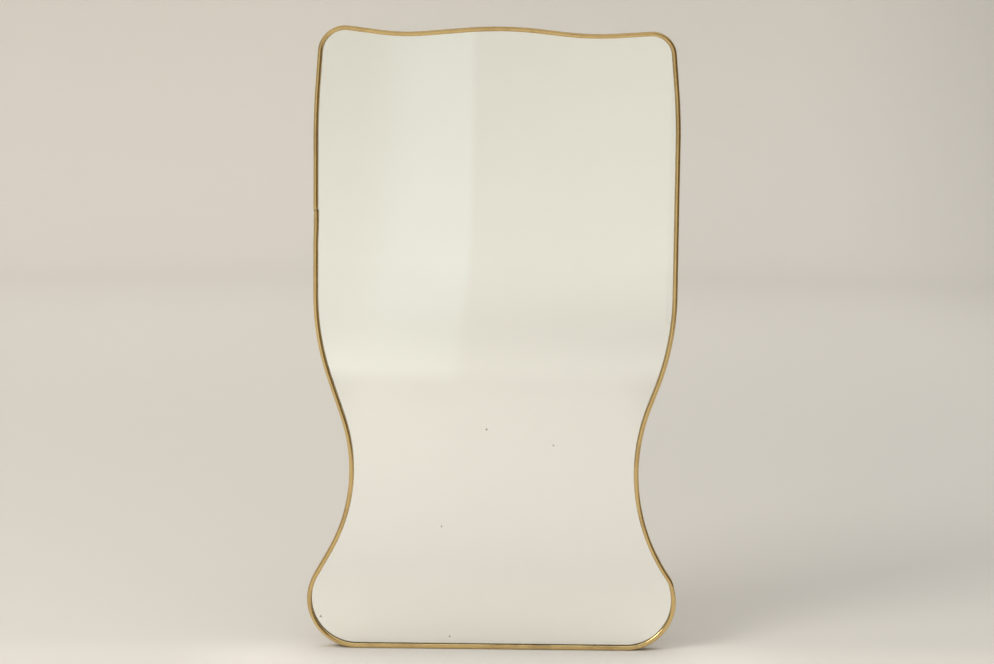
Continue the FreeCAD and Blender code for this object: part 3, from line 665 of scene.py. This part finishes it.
def cove_paint():
    """Warm off-white in soft steps from the floor behind the mirror, with light and shade painted
    in.

    Painted shade darkens the floor behind towards the mirror, greyer to the right and darker again
    far right. Then come the floor before it, painted lighter just before the mirror and darker to
    the sides, and the far floor and wall, the wall painted lighter, with a cooler band up the left.
    """
    paint = Paint("cove paint", {"Roughness": 0.9, "Specular IOR Level": 0.15})
    black = (0.0, 0.0, 0.0)
    x, y = paint.axis(0), paint.axis(1)
    # Painted shade behind the mirror: greyer to the right, darker again past a metre to the right,
    # and darker towards the mirror itself.
    behind = paint.mix(x.rise(-1.0, 1.0), (0.608, 0.580, 0.530), (0.57, 0.550, 0.512))
    painted_shade = y.rise(4.2, 0.6) * 0.215 + x.rise(1.0, 2.2) * 0.2
    behind = paint.mix(painted_shade, behind, black)
    # Painted light and shade before the mirror: lighter just in front of it, fading over half a
    # metre, and darker a little to each side.
    front = paint.mix(y.rise(-0.04, -0.5), (0.585, 0.559, 0.514), (0.515, 0.497, 0.463))
    front = paint.mix(x.away_from(0.0).rise(0.24, 0.42) * 0.14, front, black)
    # The far floor and the wall before the mirror; the wall is painted lighter than the floor, as
    # painted light.
    far, cool_far = (0.54, 0.525, 0.49), (0.565, 0.56, 0.52)
    wall, cool_wall = (0.715, 0.70, 0.65), (0.745, 0.75, 0.71)
    cool = x.rise(-0.065, -0.105) * x.rise(-0.50, -0.26)
    plain = paint.mix(y.rise(-2.9, -4.9), far, wall)
    cooler = paint.mix(y.rise(-2.9, -4.9), cool_far, cool_wall)
    front = paint.mix(y.rise(-2.15, -2.5), front, paint.mix(cool, plain, cooler))
    colour = paint.mix(y.rise(0.05, -0.08), behind, front)
    blotch = paint.noise(paint.place(), 1.3, 3.0)
    colour = paint.mix(blotch * 0.06, colour, (0.5, 0.45, 0.38))
    paint.vary(Base_Color=colour)
    return paint


studio = new_piece("cove", cove())
studio.data.materials.append(cove_paint().material)


def brass_sees_only(name, near, far, paint):
    """A sheet between two lines of points, one flat face from each point to the next.

    It is kept out of the picture, the pane and the light: only bare metal mirrors it, so it paints
    a reflection into the brass.
    """
    count = len(near)
    faces = [(i, i + 1, count + i + 1, count + i) for i in range(count - 1)]
    mesh = bpy.data.meshes.new(name)
    mesh.from_pydata(near + far, [], faces)
    mesh.materials.append(paint.material)
    piece = new_piece(name, mesh)
    piece.visible_camera = piece.visible_diffuse = False
    piece.visible_transmission = piece.visible_shadow = False


# A dark sheet right of the camera, seen only in the brass: painted shade on the right-facing side
# of the bead.
brass_sees_only("shade_sheet", [(x, y, 0.0) for x, y in SHADE_SHEET_LINE],
                [(x, y, SHADE_SHEET_HEIGHT) for x, y in SHADE_SHEET_LINE],
                Paint("shade sheet", {"Roughness": 0.9, "Base Color": (0.15, 0.115, 0.075, 1.0)}))
# A glowing sheet overhead, no lamp and seen only in the brass: a painted reflection of a ceiling,
# dimmer than the sky.
brass_sees_only("overhead_glow_sheet", [(x, -GLOW_SHEET_REACH, GLOW_SHEET_HEIGHT) for x in (GLOW_SHEET_REACH, -GLOW_SHEET_REACH)],
                [(x, GLOW_SHEET_REACH, GLOW_SHEET_HEIGHT) for x in (GLOW_SHEET_REACH, -GLOW_SHEET_REACH)],
                Paint("glowing sheet", {"Base Color": (0.0, 0.0, 0.0, 1.0),
                                   "Emission Strength": GLOW_SHEET_STRENGTH,
                                   "Emission Color": (1.0, 0.97, 0.92, 1.0)}))

sky = bpy.data.worlds.new("soft light")
sky.use_nodes = True
background = sky.node_tree.nodes["Background"].inputs
background["Color"].default_value = (1.0, 0.99, 0.975, 1.0)
background["Strength"].default_value = SKY_GLOW
bpy.context.scene.world = sky
bpy.context.scene.view_settings.view_transform = "Standard"


def soft_light(name, width, power, gleams):
    """A square softbox that faces the mirror; only one that gleams is mirrored in the brass."""
    box = bpy.data.lights.new(name, "AREA")
    box.shape, box.size, box.energy, box.color = "SQUARE", width, power, (1.0, 0.97, 0.93)
    lamp = bpy.data.objects.new(name, box)
    lamp.location = LAMP_PLACE
    ray = Vector(LAMP_AIM) - Vector(LAMP_PLACE)
    lamp.rotation_euler = ray.to_track_quat("-Z", "Y").to_euler()
    lamp.visible_glossy = gleams
    bpy.context.scene.collection.objects.link(lamp)


soft_light("key", 1.6, 100.0, False)
soft_light("gleam", 0.5, 1.5, True)

CAMERA_PLACE = Vector((0.0012, -2.792, 0.7334))
CAMERA_AIM = Vector((0.0031, -0.011, 0.3882))
CAMERA_ROLL = math.radians(0.633)
forward = (CAMERA_AIM - CAMERA_PLACE).normalized()
right = forward.cross(Vector((0, 0, 1))).normalized()
up = right.cross(forward)
across = right * math.cos(CAMERA_ROLL) + up * math.sin(CAMERA_ROLL)
upward = up * math.cos(CAMERA_ROLL) - right * math.sin(CAMERA_ROLL)
lens = bpy.data.cameras.new("camera")
lens.lens, lens.sensor_width = 85.0, 36.0
camera = bpy.data.objects.new("camera", lens)
camera.matrix_world = Matrix.Translation(CAMERA_PLACE) @ Matrix(
    (across, upward, -forward)).transposed().to_4x4()
bpy.context.scene.collection.objects.link(camera)
bpy.context.scene.camera = camera
